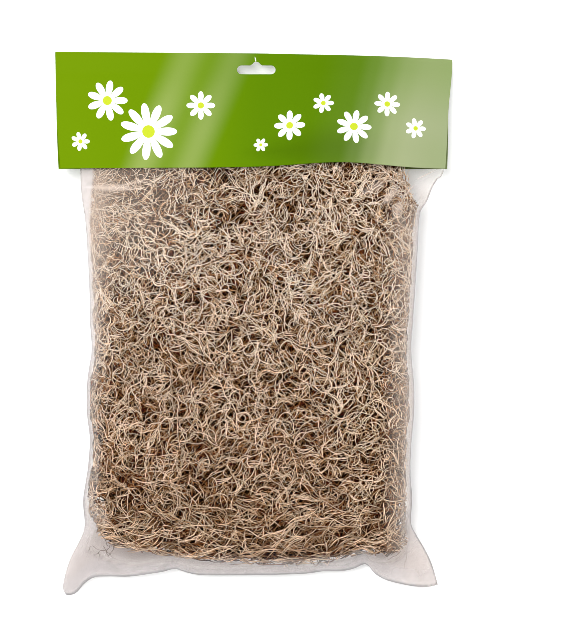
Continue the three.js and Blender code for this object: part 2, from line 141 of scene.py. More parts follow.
def bag_at(u, v):
    """x, down and the outer front and back heights of the stuffed bag."""
    x, down = plan_point(u, v)
    edge = edge_height(x, down)
    across = np.abs(2 * u - 1)
    taper = np.clip((v - TAPER_START) / (TAPER_END - TAPER_START), 0, 1)
    pillow = np.maximum(0, 1 - (across / 0.992) ** 5 - taper**4.0) ** 0.45
    body = smooth(v, 0.17, 0.42)
    full, full_back = (
        neck_fullness(down) * lerp(card_arc(x, is_front) * (1 - across**8), pillow, body)
        for is_front in (True, False)
    )
    loose = lerp(0.4, 3.4, smooth(v, 0.1, 0.4)) * (1 - across**14) * (1 - v**40)
    half = 0.5 + loose / 2
    swell = 1.5 * np.sin(x / 23 + 1.3) * np.sin(down / 29 + 0.4) + 1.1 * np.sin(x / 41 - down / 33 + 2)
    swell = swell * smooth(down, 90, 160)
    front = edge + half + (BODY_TOP - BODY_EDGE - half) * full + swell * smooth(full, 0.2, 0.9)
    back = (edge - half) * (1 - np.minimum(1, full_back / BACK_FLAT))
    return x, down, front, back


grid_u, grid_v = np.linspace(0, 1, 241), np.linspace(0, 1, 361)
skin_u, skin_v = np.meshgrid(grid_u, grid_v, indexing="ij")
skin_x, skin_down, skin_front, skin_back = bag_at(skin_u, skin_v)
skin_depth = skin_front - skin_back


def skin_fields(heights):
    """The skin's points and their slopes across and along, in millimetres, on the grid above."""
    points = np.stack([skin_x, LENGTH / 2 - skin_down, heights], -1)
    across, along = np.gradient(points, grid_u, grid_v, axis=(0, 1))
    return np.concatenate([points, across, along, skin_depth[..., None]], -1)


SKINS = {"front": skin_fields(skin_front), "back": skin_fields(skin_back)}


def read_skin(side, u, v):
    """Point, slopes and local depth of the bag at u, v, between the grid's points."""
    field = SKINS[side]
    gu, gv = u * (len(grid_u) - 1), v * (len(grid_v) - 1)
    i = np.clip(gu.astype(int), 0, len(grid_u) - 2)
    j = np.clip(gv.astype(int), 0, len(grid_v) - 2)
    fu, fv = (gu - i)[:, None], (gv - j)[:, None]
    nearer = field[i, j] * (1 - fu) + field[i + 1, j] * fu
    further = field[i, j + 1] * (1 - fu) + field[i + 1, j + 1] * fu
    read = nearer * (1 - fv) + further * fv
    return read[:, 0:3], read[:, 3:6], read[:, 6:9], read[:, 9]


def side_margins(v):
    """The shares across the bag that the moss leaves free at its left and at its right."""
    left = 0.007 + 0.026 * (1 - smooth(v, 0.17, 0.3))
    right = 0.012 + 0.11 * (1 - smooth(v, 0.16, 0.26))
    return np.array([left, right])


# The moss ends at this line, in x and down, short of the weld and of the bag's two bottom corners.
MOSS_FOOT = [(-138, 368), (-134, 382), (-127, 395), (-120, 404), (-97, 410), (-59, 418), (-30, 422)]
MOSS_FOOT += [(20, 425), (52, 425), (82, 418.5), (97, 415), (118, 414), (126, 409), (130, 396), (133, 370)]


def foot_at(x):
    """How far down the moss reaches at x."""
    return np.interp(x, *np.array(MOSS_FOOT).T)


FILM_CLEARANCE = 1.5  # from the outer film to the middle of the strands against it
RAGGED_BORDER = 0.004  # the bunch has no sharp border: by this share, on average, a strand stays inside it


def grow(side, u, v, heading, curl, depth, pace, stray=False):
    """Walks every strand of a batch along the skin. curl is its turn a step and depth its distance
    under the film, both as arrays of strand by step. Returns the points and, for each point, the
    shares u and v of its place on the skin and its heading."""
    count, steps = curl.shape
    points, places = np.empty((count, steps, 3)), np.empty((count, steps, 3))
    u, v, heading = u.copy(), v.copy(), heading.copy()
    room = rng.exponential(RAGGED_BORDER, count)
    for k in range(steps):
        point, across, along, thick = read_skin(side, u, v)
        normal = np.cross(along, across) * (1 if side == "front" else -1)
        normal /= np.linalg.norm(normal, axis=1, keepdims=True)
        sunk = np.minimum(depth[:, k], 0.47 * thick)
        skin = np.minimum(sunk, FILM_CLEARANCE)
        points[:, k] = point - normal * skin[:, None]
        points[:, k, 2] -= (sunk - skin) * (1 if side == "front" else -1)
        places[:, k] = np.stack([u, v, heading], -1)
        dx, dy = np.cos(heading), np.sin(heading)
        det = across[:, 0] * along[:, 1] - along[:, 0] * across[:, 1]
        du = (dx * along[:, 1] - dy * along[:, 0]) / det
        dv = (dy * across[:, 0] - dx * across[:, 1]) / det
        stretch = np.linalg.norm(across * du[:, None] + along * dv[:, None], axis=1)
        u, v = u + du * pace / stretch, v + dv * pace / stretch
        if not stray:
            left, right = side_margins(v) + room
            x = point[:, 0]
            low = LENGTH / 2 - point[:, 1] > foot_at(x) - LENGTH * room
            heading = np.where(low & (np.sin(heading) < 0), -heading, heading)
            past_left = (u < left) | (low & (x < -115))
            past_right = (u > 1 - right) | (low & (x > 116))
            heading = np.where(past_left & (np.cos(heading) < 0), np.pi - heading, heading)
            heading = np.where(past_right & (np.cos(heading) > 0), np.pi - heading, heading)
            heading = np.where((v < 0.075) & (np.sin(heading) > 0), -heading, heading)
        u, v = np.clip(u, 0.008, 0.992), np.clip(v, 0.07, 0.988)
        heading = heading + curl[:, k]
    return points, places


rng = np.random.default_rng(41)


def strand_tones(points, depth):
    """A colour for each point of each strand: the dye of the strand, its patch of the bunch and how
    deep it lies, where painted shade makes the deeper points darker and browner."""
    count, steps = points.shape[:2]
    dyes = np.array([(0.78, 0.675, 0.56), (0.57, 0.48, 0.39), (0.5, 0.365, 0.25), (0.2, 0.1, 0.045)])
    x, y = points[:, 0, 0], points[:, 0, 1]
    patch = 0.15 * np.sin(x / 31 + 1.7 * np.sin(y / 47)) * np.sin(y / 38 + 0.8)
    low = 1 - smooth(y, -175, -95)
    pale, grey = 0.5 + 0 * x, 0.24 + 0.1 * patch - 0.1 * low
    brown, dark = 0.12 - 0.06 * patch + 0.14 * low, 0.12 + 0.06 * low
    chance = np.clip(np.stack([pale, grey, brown, dark], -1), 0.02, 1)
    chance /= chance.sum(1, keepdims=True)
    pick = (rng.random(count)[:, None] > np.cumsum(chance, 1)).sum(1).clip(0, 3)
    blend = rng.random(count)[:, None] * 0.35
    dye = dyes[pick] * (1 - blend) + dyes[0] * blend
    # greyer by the card and browner towards the weld, the moss's own colour, and paler towards the card:
    # painted light, where the bunch faces the lamps
    fade = [(0.85, 0.99, 1.07, 1.25, 1.18), (0.735, 0.88, 1.0, 1.21, 1.14), (0.64, 0.8, 0.955, 1.19, 1.12)]
    fade = np.stack([np.interp(y, (-170, -95, -15, 40, 95), levels) for levels in fade], -1)
    bright = np.exp(rng.normal(0, 0.24, count))[:, None] * fade
    # painted shade: the deeper a point lies the darker it is, more so towards the weld, and the darkest turn
    # redder
    shade = 1 - 0.96 * smooth(depth, 2.2, 6.5)[..., None]
    shade = shade ** (0.72 + 0.6 * smooth(-y, -110, 100))[:, None, None]
    share = np.linspace(0, 9, steps)[None, :, None]
    along = 1 + 0.12 * np.sin(share + rng.random(count)[:, None, None] * 6)
    redder = np.array([1, 1.33, 1.75]) + (1 - shade) ** 2 * np.array([0, 0.6, 1.4])
    tones = (dye * bright)[:, None, :] * shade**redder * along
    return np.maximum(tones * np.minimum(1, 0.8 / tones.max(2, keepdims=True)), (0.006, 0.0015, 0.0004))


strands = []  # batches of (points, radii, tones), each batch with one number of steps


def add_strands(points, thickness, depth, tones=None):
    """Adds a batch to the bunch. Each strand has its own thickness between the two given, and is thinner
    at its root and drawn out at its tip."""
    share = np.linspace(0, 1, points.shape[1])
    taper = (0.72 + 0.28 * smooth(share, 0, 0.2)) * (1 - 0.6 * smooth(share, 0.62, 1.0))
    radius = taper * rng.uniform(*thickness, len(points))[:, None] / 2
    strands.append((points, radius, strand_tones(points, depth) if tones is None else tones))


def sunken(x, y):
    """How far the loose strands lie below the film here: the bunch is springy and has hollows."""
    hollow = np.sin(x / 3.3 + 2.1 * np.sin(y / 11)) * np.sin(y / 3.7 + 1.7 * np.sin(x / 13))
    return 0.8 * smooth(hollow, 0.1, 0.8)


EVEN_STEPS = (0.8191725, 0.6710436, 0.5497005)  # one after another they fill a cube evenly


def even_shares(count):
    """Three shares for each strand of a batch, spread more evenly than by chance."""
    return (np.arange(count)[:, None] * EVEN_STEPS + rng.random(3)) % 1


def stem_batch(side, count, steps, pace, level, thickness, wave_turn, reach=(0.08, 0.977)):
    """Long wavy strands. Some run in locks of four that lie beside each other."""
    locks = max(1, int(count * 0.24 / 4))
    evenly = even_shares(count)  # across, along and in depth
    u, v = 0.01 + 0.98 * evenly[:, 0], lerp(*reach, evenly[:, 1])
    heading = rng.uniform(-np.pi, np.pi, count)
    low = smooth(v, 0.74, 0.88)  # near the weld the strands are combed across the bag
    combed = rng.normal(0.1 + 0.3 * u, 0.42, count) + np.pi * (rng.random(count) < 0.5)
    heading = np.where(rng.random(count) < low, combed, heading)
    wave = rng.uniform(*wave_turn, count) * (1 - 0.45 * low)
    length = rng.uniform(13, 36, count)
    phase = rng.uniform(0, 2 * np.pi, count)
    bias = rng.normal(0, 0.02, count)
    deep = level[0] + (level[1] - level[0]) * evenly[:, 2] ** 1.3
    spreads = ((u, 0.006), (v, 0.005), (heading, 0.16), (wave, 0.006), (phase, 0.3), (deep, 0.7))
    for k in range(locks):
        lead, others = 4 * k, slice(4 * k, 4 * k + 4)
        for values, spread in spreads:
            values[others] = values[lead] + rng.normal(0, spread, 4)
        length[others], bias[others] = length[lead], bias[lead] + rng.normal(0, 0.003, 4)
    run, period, shift = np.arange(steps)[None, :] * pace, length[:, None], phase[:, None]
    second = rng.uniform(0.3, 0.8, count)[:, None] * np.sin(2 * np.pi * run / (0.43 * period) + 2 * shift)
    swing = np.sin(2 * np.pi * run / period + shift) + second
    curl = (wave[:, None] * swing + bias[:, None]) * pace
    share = np.linspace(-1, 1, steps)[None, :]
    weave, weave_run = rng.uniform(0.3, 1.5, count)[:, None], rng.uniform(5, 12, count)[:, None]
    depth = deep[:, None] + weave * np.sin(run / weave_run + shift) + 4.0 * np.abs(share) ** 5
    return lay(side, u, v, heading, curl, depth, pace, thickness)


def lay(side, u, v, heading, curl, depth, pace, thickness, keep=1.0):
    """Grows a batch, sunk into the hollows of the bunch, with a thickness for each strand. Keeps the
    share of it that covers the barest places."""
    count = len(curl)
    left, right = side_margins(v) + rng.exponential(RAGGED_BORDER, count)
    u = np.clip(u, left, 1 - right)
    start = read_skin(side, u, np.clip(v, 0.07, 0.985))[0]
    past_foot = np.maximum(0, LENGTH / 2 - start[:, 1] - foot_at(start[:, 0])) / (LENGTH - BAG_MOUTH)
    v = v - past_foot * rng.uniform(1, 1.6, count)
    depth = np.maximum(depth + sunken(start[:, 0], start[:, 1])[:, None], FILM_CLEARANCE)
    points, places = grow(side, u, v, heading, curl, depth, pace)
    if keep < 1:
        lies = cover[side][patch_of(places)]
        lies = np.maximum(lies, 0.4 * lies.mean()).mean(1)
        kept = np.sort(np.argsort(lies / lies.std() + rng.normal(0, 0.5, count))[: int(keep * count)])
        points, places, depth, start = points[kept], places[kept], depth[kept], start[kept]
    add_strands(points, thickness, depth)
    strand_depths.append((side, depth))
    np.add.at(cover[side], patch_of(places), np.exp(-depth / 2.4))
    return places, depth - sunken(start[:, 0], start[:, 1])[:, None]


def leaf_curl(habit, count, steps, pace, turn):
    """The turn a step of a batch of leaves: hooks that tighten towards the tip, squiggles, whole rings
    or nearly straight forks."""
    share = np.linspace(0, 1, steps)[None, :]
    if habit == "hook":
        wide, tight = rng.uniform(7, 26, count)[:, None], rng.uniform(2.6, 8, count)[:, None]
        back = np.where(rng.random(count) < 0.7, -turn, turn)[:, None]
        curl = back * lerp(1 / wide, 1 / tight, share**1.6)
    elif habit == "squiggle":
        waves = rng.uniform(1.2, 2.6, count)[:, None]
        bend = rng.uniform(0.13, 0.3, count)[:, None]
        phase = rng.random(count)[:, None] * 6
        curl = bend * np.sin(2 * np.pi * waves * share + phase) + rng.normal(0, 0.03, (count, 1))
    elif habit == "ring":
        tight = rng.uniform(2.3, 5.2, count)[:, None]
        curl = turn[:, None] * lerp(0.4, 1.0, smooth(share, 0, 0.35)) / tight
    else:
        curl = rng.normal(0, 0.05, (count, 1)) + 0 * share
    return (curl + rng.normal(0, 0.022, (count, steps))) * pace


# How much already lies on each patch of skin. A patch is about 5 by 6 mm.
PATCHES = (54, 72)
cover = {side: np.zeros((PATCHES[0] + 1, PATCHES[1] + 1)) for side in ("front", "back")}


def patch_of(places):
    """The patch of skin that each place lies in."""
    return (places[..., 0] * PATCHES[0]).astype(int), (places[..., 1] * PATCHES[1]).astype(int)


def spread_evenly(side, places, count):
    """Picks that many of the places, first where the skin is covered least."""
    row, column = patch_of(places)
    patch = row * (PATCHES[1] + 1) + column
    order = np.argsort(patch, kind="stable")
    turn = np.empty(len(patch))
    turn[order] = np.arange(len(patch)) - np.searchsorted(patch[order], patch[order])
    covered = cover[side][row, column] / 0.8  # in leaves
    covered = np.maximum(covered, 0.4 * covered.mean())
    return np.sort(np.argsort(covered + turn + rng.random(len(turn)))[:count])


def leaf_batch(side, parents, habit, count, steps, pace, thickness):
    """Leaves that fork off the stems and rise or dive as they curl. Twice the count is grown, and the
    half of it over the barest places is kept."""
    count *= 2
    places, depths = parents
    which = (np.arange(2 * count) + rng.integers(len(places))) % len(places)
    along = rng.integers(1, places.shape[1] - 2, 2 * count)
    even = spread_evenly(side, places[which, along], count)
    which, along = which[even], along[even]
    if habit == "fork":  # four from one place, spread like a fan
        root = np.arange(count) // 4
        which, along = which[root], along[root]
    u, v, heading = places[which, along].T
    turn = np.where(rng.random(count) < 0.5, -1, 1)
    combed = 0.25 * smooth(v, 0.78, 0.9)
    heading = heading + turn * rng.uniform(0.3, 1.05, count) * (1 - combed)
    share = np.linspace(0, 1, steps)[None, :]
    rise = rng.normal(-0.8, 2.2, count)[:, None]
    ripple = rng.uniform(0.2, 1.3, count)[:, None] * np.sin(share * 7 + rng.random(count)[:, None] * 6)
    level = lerp(depths[which, along], 1.5 + 6.5 * rng.permutation(np.arange(count) / count) ** 1.3, 0.75)
    depth = level[:, None] + rise * share + ripple * share
    curl = leaf_curl(habit, count, steps, pace, turn) * (1 - combed)[:, None]
    lead = np.arange(0, int(0.33 * count) - 3, 3)  # a third of the leaves lie in threes
    for other in (lead + 1, lead + 2):
        for values, spread in ((u, 0.004), (v, 0.003), (heading, 0.15)):
            values[other] = values[lead] + rng.normal(0, spread, len(lead))
        curl[other] = curl[lead] * rng.normal(1, 0.12, (len(lead), 1))
        depth[other] = depth[lead] + rng.normal(0, 0.4, (len(lead), 1))
    return lay(side, u, v, heading, curl, depth, pace, thickness, keep=0.5)


strand_depths = []  # the side of each batch and the depths of its points
LEAVES = [  # habit, steps, step length, share of all leaves
    ("hook", 9, 2.0, 0.4),
    ("squiggle", 9, 2.3, 0.22),
    ("ring", 10, 1.75, 0.14),
    ("fork", 6, 2.9, 0.24),
]


def grow_side(side, share):
    """All the strands of the bunch against the front or the back of the bag."""
    long_stems = stem_batch(side, int(170 * share), 22, 3.0, (1.5, 7.0), (0.8, 1.15), (0.06, 0.14))
    stem_batch(side, int(330 * share), 13, 3.0, (1.5, 6.0), (0.8, 1.2), (0.06, 0.15), (0.88, 0.984))
    stems = stem_batch(side, int(1250 * share), 13, 2.9, (1.5, 8.0), (0.75, 1.12), (0.07, 0.19))
    for parents, leaves in ((long_stems, 2600), (stems, 4500), (stems, 3400), (stems, 1900)):
        for habit, steps, pace, part in LEAVES:
            leaf_batch(side, parents, habit, int(leaves * share * part), steps, pace, (0.55, 1.12))


grow_side("front", 1.0)
grow_side("back", 0.15)

# Where strands cross, the lower one lies in the dark. The bunch is divided into cells about as wide as
# a strand, and what lies under the top strand of its cell is shaded.
CELL, CELLS = 1.0, (360, 480)  # millimetres, and how many cells there are across and along
tops = {side: np.full(CELLS, 99.0) for side in ("front", "back")}  # depth of each cell's top strand


def cell_of(points):
    """The cell of each point, counted from a corner outside the bag."""
    return tuple((points[..., k] / CELL + CELLS[k] / 2).astype(int) for k in (0, 1))


for (points, _, _), (side, depth) in zip(strands, strand_depths):
    for share in (0.0, 0.35, 0.7):
        place = lerp(points[:, :-1], points[:, 1:], share)
        np.minimum.at(tops[side], cell_of(place), lerp(depth[:, :-1], depth[:, 1:], share))
for (points, _, tones), (side, depth) in zip(strands, strand_depths):
    under = (depth - tops[side][cell_of(points)]) * (1 - smooth(np.abs(points[..., 0] + 10), 105, 125))
    tones *= (1 - 0.8 * smooth(under, 0.5, 2.8))[..., None] ** np.array([1, 1.4, 2.1])

# A few thin dark curls have worked loose and lie in the empty film at the bottom corners.
for corner_u, corner_v, count in (((0.1, 0.16), (0.92, 0.945), 9), ((0.93, 0.955), (0.9, 0.93), 5)):
    curl = leaf_curl("squiggle", count, 12, 1.9, np.ones(count))
    start = rng.uniform(*corner_u, count), rng.uniform(*corner_v, count), rng.uniform(-np.pi, np.pi, count)
    points, _ = grow("front", *start, curl, np.full(curl.shape, 0.9), 1.9, stray=True)
    add_strands(points, (0.45, 0.7), None, np.full(points.shape, 0.06) * np.array([1.3, 0.85, 0.6]))

# The bunch is as deep as the bag is full. Strands run round its sides too, just inside its outline.
along_side = np.linspace(0.18, 0.84, 60)
left_line = plan_point(side_margins(along_side)[0] + 0.012, along_side)
right_line = plan_point(0.988 - side_margins(along_side)[1], along_side)
foot_line = np.array(MOSS_FOOT[1:-1]).T * [[0.975], [1]] - [[0], [5]]
rim_line = np.concatenate([np.transpose(left_line), foot_line.T, np.transpose(right_line)[::-1]])
near = [np.argmin((skin_x - x) ** 2 + (skin_down - down) ** 2) for x, down in rim_line]
rim_run = np.concatenate([[0], np.cumsum(np.linalg.norm(np.diff(rim_line, axis=0), axis=1))])
outward = np.gradient(rim_line, rim_run, axis=0)[:, ::-1] * (-1, 1)
rim_levels = [skin_back.ravel()[near] + 1.5, skin_front.ravel()[near] - 4]  # lowest and highest strands
rim_places = np.column_stack([rim_line, outward, *rim_levels])
for habit, count, steps, pace in (("squiggle", 500, 8, 2.6), ("hook", 600, 7, 2.5)):
    evenly = even_shares(count)  # along, in height and in depth
    heading = rng.normal(0, 0.6, count) + np.pi * (rng.random(count) < 0.5)
    turn = np.where(rng.random(count) < 0.5, -1, 1)
    heading = heading[:, None] + np.cumsum(leaf_curl(habit, count, steps, pace, turn), 1)
    run = evenly[:, :1] * rim_run[-1] + np.cumsum(np.cos(heading), 1) * pace
    x, down, out_x, out_down, low, high = (np.interp(run, rim_run, values) for values in rim_places.T)
    height = lerp(low, high, evenly[:, 1:2]) + np.cumsum(np.sin(heading), 1) * pace
    depth = 1.5 + 5 * evenly[:, 2:] + rng.uniform(0.3, 1.2, (count, 1)) * np.sin(run / 3)
    sunk_x, sunk_down = x - out_x * (depth - 1.5), down - out_down * (depth - 1.5)
    points = np.stack([sunk_x, LENGTH / 2 - sunk_down, np.clip(height, low, high)], -1)
    add_strands(points, (0.7, 1.2), depth)

SIDES = 3  # flat sides of a strand
CELL_MARGIN, CELL_FILL = 0.14, 0.72  # of a strand's cell in its map


def new_object(name, data):
    """An object of the scene made from its mesh, lamp or camera."""
    made = bpy.data.objects.new(name, data)
    bpy.context.collection.objects.link(made)
    return made


def strand_mesh(name, batches):
    """One mesh of closed tapering strands, with a tone at each point and a map that gives every
    strand a cell of its own."""
    corners, quads, ends, tones, quad_uv, end_uv = [], [], [], [], [], []
    base, cell = 0, 0
    total = sum(len(points) for points, _, _ in batches)
    cells = math.ceil(math.sqrt(total))
    for points, radius, tone in batches:
        count, steps = points.shape[:2]
        tangent = np.gradient(points, axis=1)
        tangent /= np.linalg.norm(tangent, axis=2, keepdims=True)
        side = np.cross(tangent, np.array([0.11, 0.07, 0.99]))
        side /= np.linalg.norm(side, axis=2, keepdims=True)
        up = np.cross(tangent, side)
        turn = 2 * np.pi * np.arange(SIDES) / SIDES + 0.5
        ring = side[:, :, None] * np.cos(turn)[:, None] + up[:, :, None] * np.sin(turn)[:, None]
        corners.append((points[:, :, None] + ring * radius[:, :, None, None]).reshape(-1, 3))
        tones.append(np.repeat(tone[:, :, None], SIDES, 2).reshape(-1, 3))
        index = base + np.arange(count * steps * SIDES).reshape(count, steps, SIDES)
        after = np.roll(index, -1, 2)
        quads.append(np.stack([index[:, :-1], after[:, :-1], after[:, 1:], index[:, 1:]], -1).reshape(-1, 4))
        ends.append(np.concatenate([index[:, 0, ::-1], index[:, -1]]))
        place = cell + np.arange(count)
        cell_start = np.stack([place % cells, place // cells], -1)[:, None] + CELL_MARGIN
        share = np.linspace(0, CELL_FILL, steps)
        lane = np.arange(SIDES + 1) * CELL_FILL / SIDES
        along, around = np.meshgrid(share[:-1], lane[:-1], indexing="ij")
        step, rise = share[1], lane[1]
        square_u = np.stack([along, along, along + step, along + step], -1)
        square_v = np.stack([around, around + rise, around + rise, around], -1)
        square = np.stack([square_u, square_v], -1)
        quad_uv.append(((square + cell_start[:, None, None]) / cells).reshape(-1, 2))
        first = (np.array([(0, 0), (0.02, 0), (0, 0.02)]) + cell_start) / cells
        last = first + np.array([0.7 / cells, 0])
        end_uv.append(np.concatenate([first, last]).reshape(-1, 2))
        base += count * steps * SIDES
        cell += count
    corners, tones = np.concatenate(corners) * MM, np.concatenate(tones)
    quads, ends = np.concatenate(quads), np.concatenate(ends)
    mesh = bpy.data.meshes.new(name)
    mesh.vertices.add(len(corners))
    mesh.vertices.foreach_set("co", corners.ravel())
    mesh.loops.add(quads.size + ends.size)
    mesh.loops.foreach_set("vertex_index", np.concatenate([quads.ravel(), ends.ravel()]))
    mesh.polygons.add(len(quads) + len(ends))
    starts = np.concatenate([np.arange(len(quads)) * 4, quads.size + np.arange(len(ends)) * 3])
    mesh.polygons.foreach_set("loop_start", starts)
    mesh.update(calc_edges=True)
    layer = mesh.uv_layers.new(name="OFBake")
    layer.data.foreach_set("uv", np.concatenate(quad_uv + end_uv).ravel())
    colour = mesh.color_attributes.new("StrandTone", "FLOAT_COLOR", "POINT")
    colour.data.foreach_set("color", np.concatenate([tones, np.ones((len(tones), 1))], 1).ravel())
    mesh.shade_smooth()
    return new_object(name, mesh)


def new_material(name, **settings):
    """A material with the settings of its main shader, to which a section adds what is drawn by nodes."""
    made = bpy.data.materials.new(name)
    made.use_nodes = True
    shader = made.node_tree.nodes["Principled BSDF"]
    for setting, value in settings.items():
        shader.inputs[setting.replace("_", " ")].default_value = value
    return made, made.node_tree.nodes, made.node_tree.links, shader


def feed(entry, value):
    """Links an input of a node to the output given as its value, or sets it to a plain value."""
    if isinstance(value, bpy.types.NodeSocket):
        links.new(value, entry)
    else:
        entry.default_value = value


def node(kind, **values):
    """A node of the material in hand, with its settings and what its inputs are fed."""
    made = nodes.new(kind)
    for name, value in values.items():
        if hasattr(made, name):
            setattr(made, name, value)
        else:
            feed(made.inputs[name.replace("_", " ")], value)
    return made


def math_node(operation, *values):
    """A Math node fed by other nodes or plain numbers."""
    made = node("ShaderNodeMath", operation=operation)
    for entry, value in zip(made.inputs, values):
        feed(entry, value)
    return made.outputs[0]


def ranged(value, low, high, to_low=0.0, to_high=1.0, eased=False):
    """The values from low to high, stretched to run from to_low to to_high."""
    way = "SMOOTHSTEP" if eased else "LINEAR"
    limits = {"From_Min": low, "From_Max": high, "To_Min": to_low, "To_Max": to_high}
    return node("ShaderNodeMapRange", interpolation_type=way, Value=value, **limits).outputs["Result"]


moss_fibre, nodes, links, shader = new_material("dried moss fibre", Roughness=0.82, Specular_IOR_Level=0.05)
place = node("ShaderNodeTexCoord").outputs["Object"]
scales = node("ShaderNodeTexNoise", Vector=place, Scale=650.0, Detail=2.0, Roughness=0.6)
# each strand is darker along its sides, where its neighbours keep the light off
turned = node("ShaderNodeLayerWeight", Blend=0.5)
side_shade = ranged(turned.outputs["Facing"], 0.15, 0.85, 1.16, 0.5)
brightness = math_node("MULTIPLY", ranged(scales.outputs["Fac"], 0.3, 0.7, 0.7, 1.24), side_shade)
tone = node("ShaderNodeAttribute", attribute_name="StrandTone")
tint = node("ShaderNodeVectorMath", operation="SCALE", Vector=tone.outputs["Color"], Scale=brightness)
links.new(tint.outputs["Vector"], shader.inputs["Base Color"])

# The strands are shared out from left to right over a few pieces.
LOCKS = 5
strand_middles = [points[:, :, 0].mean(1) for points, _, _ in strands]
cuts = np.quantile(np.concatenate(strand_middles), np.linspace(0, 1, LOCKS + 1))
cuts[0], cuts[-1] = -1e9, 1e9
for part in range(LOCKS):
    batches = []
    for (points, radius, tones), middle in zip(strands, strand_middles):
        inside = (middle >= cuts[part]) & (middle < cuts[part + 1])
        if inside.any():
            batches.append((points[inside], radius[inside], tones[inside]))
    lock = strand_mesh(f"moss_strands_{part + 1}", batches)
    lock.data.materials.append(moss_fibre)
    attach(lock, "root")
    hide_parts("moss_bunch")

# ---- The matted middle ----------------------------------------------------------------------------
# Under the loose strands the moss is pressed into a brown mat. It is seen only at the bottom of the
# gaps, and is painted near black there with the shade that lies so deep.


def skin_sheet(name, across, along, place):
    """A grid moved on to the bag's shape: place gives x, down and height in millimetres from the
    shares u and v."""
    bpy.ops.object.select_all(action="DESELECT")
    bpy.ops.mesh.primitive_grid_add(x_subdivisions=across, y_subdivisions=along, size=1)
    sheet = bpy.context.object
    sheet.name = sheet.data.name = name
    flat = np.empty(len(sheet.data.vertices) * 3)
    sheet.data.vertices.foreach_get("co", flat)
    flat = flat.reshape(-1, 3)
    u, v = flat[:, 0] + 0.5, 0.5 - flat[:, 1]
    x, down, height = place(u, v)
    shaped = np.stack([x, LENGTH / 2 - down, height], -1) * MM
    sheet.data.vertices.foreach_set("co", shaped.ravel())
    sheet.data.update()
    return sheet, u, v


def edit_whole(piece, operation, **settings):
    """Runs a mesh operation on the whole of one piece."""
    bpy.ops.object.select_all(action="DESELECT")
    piece.select_set(True)
    bpy.context.view_layer.objects.active = piece
    bpy.ops.object.mode_set(mode="EDIT")
    bpy.ops.mesh.select_all(action="SELECT")
    operation(**settings)
    bpy.ops.object.mode_set(mode="OBJECT")


def close_sheets(front, back, name):
    """Joins a front and a back sheet and merges them where their borders meet."""
    edit_whole(back, bpy.ops.mesh.flip_normals)
    front.select_set(True)
    bpy.context.view_layer.objects.active = front
    bpy.ops.object.join()
    edit_whole(front, bpy.ops.mesh.remove_doubles, threshold=1e-5)
    front.name = front.data.name = name
    return front


def mat_height(u, v, is_front):
    """The mat's surface, 7 mm under the film and lumpy, drawn in to a line round its border."""
    left, right = side_margins(lerp(0.04, 0.97, v))
    ragged = 0.004 + 0.003 * np.sin(v * 71) + 0.002 * np.sin(v * 173 + 1)
    uu = lerp(left + ragged, 1 - right - ragged, u)
    x_low, _ = plan_point(uu, np.full_like(uu, 0.95))
    foot = (foot_at(x_low) - 5 - BAG_MOUTH) / (bottom_edge(uu)[..., 1] - BAG_MOUTH)
    vv = lerp(0.1, foot, v)
    x, down, front, back = bag_at(uu, vv)
    from_border = np.clip(np.minimum(np.minimum(u, 1 - u) * 22, np.minimum(v, 1 - v) * 26), 0, 1)
    middle = (front + back) / 2
    lump = 1.5 * np.sin(x / 4.3 + np.sin(down / 7)) * np.sin(down / 5.1 + 1.3 * np.sin(x / 8.7))
    inset = np.minimum(7.2 + lump, 0.38 * (front - back))
    surface = front - inset if is_front else back + inset
    return x, down, lerp(middle, surface, from_border**0.6)


def ramp(value, stops, blend="EASE"):
    """A ramp over a socket, from pairs of a place and its colour or its level of grey."""
    made = node("ShaderNodeValToRGB", Fac=value)
    made.color_ramp.interpolation = blend
    while len(made.color_ramp.elements) < len(stops):
        made.color_ramp.elements.new(0.5)
    for element, (at, colour) in zip(made.color_ramp.elements, stops):
        element.position, element.color = at, (*np.broadcast_to(colour, 3), 1)
    return made.outputs["Color"]


def mix(share, a, b):
    """Colour a turned into colour b by a share."""
    made = node("ShaderNodeMix", data_type="RGBA")
    for entry, value in zip((0, 6, 7), (share, a, b)):
        feed(made.inputs[entry], value)
    return made.outputs[2]


MAT_COLUMNS, MAT_ROWS = 62, 84  # faces of each side across and along
front_mat, _, _ = skin_sheet("moss_mat", MAT_COLUMNS, MAT_ROWS, lambda u, v: mat_height(u, v, True))
back_mat, _, _ = skin_sheet("moss_mat_back", MAT_COLUMNS, MAT_ROWS, lambda u, v: mat_height(u, v, False))
moss_mat = close_sheets(front_mat, back_mat, "moss_mat")
bpy.ops.object.shade_smooth()
mat_brown, nodes, links, shader = new_material("matted moss", Roughness=0.95, Specular_IOR_Level=0.0)
place = node("ShaderNodeTexCoord").outputs["Object"]
tone, ridge = 0.0, 0.0
# Layers of wavy fibres from the lowest up: the way they are combed, their scale and how pale they are. Lower
# layers are painted darker and each fibre darker away from its crest: painted shade.
for turn_degrees, scale, pale in ((12, 62, 0.4), (75, 74, 0.55), (130, 66, 0.75), (40, 80, 1.0)):
    comb = node("ShaderNodeMapping", Vector=place, Rotation=(0, 0, math.radians(turn_degrees)))
    wave = node("ShaderNodeTexWave", Scale=scale, Distortion=14.0, Detail=1.5, Detail_Scale=0.5)
    links.new(comb.outputs["Vector"], wave.inputs["Vector"])
    fibre = wave.outputs["Fac"]
    covered, crown = ranged(fibre, 0.66, 0.74, eased=True), ranged(fibre, 0.66, 0.98, 0.06, pale)
    tone = math_node("MULTIPLY_ADD", covered, math_node("SUBTRACT", crown, tone), tone)
    ridge = math_node("MULTIPLY_ADD", covered, math_node("SUBTRACT", fibre, ridge), ridge)
# the browns run down to near black: painted shade at the bottom of the gaps
SHADED_BROWNS = [(0.05, (0.006, 0.0018, 0.0004)), (1.0, (0.19, 0.095, 0.042))]
shaded_browns = ramp(math_node("POWER", tone, 2.6), SHADED_BROWNS, "LINEAR")
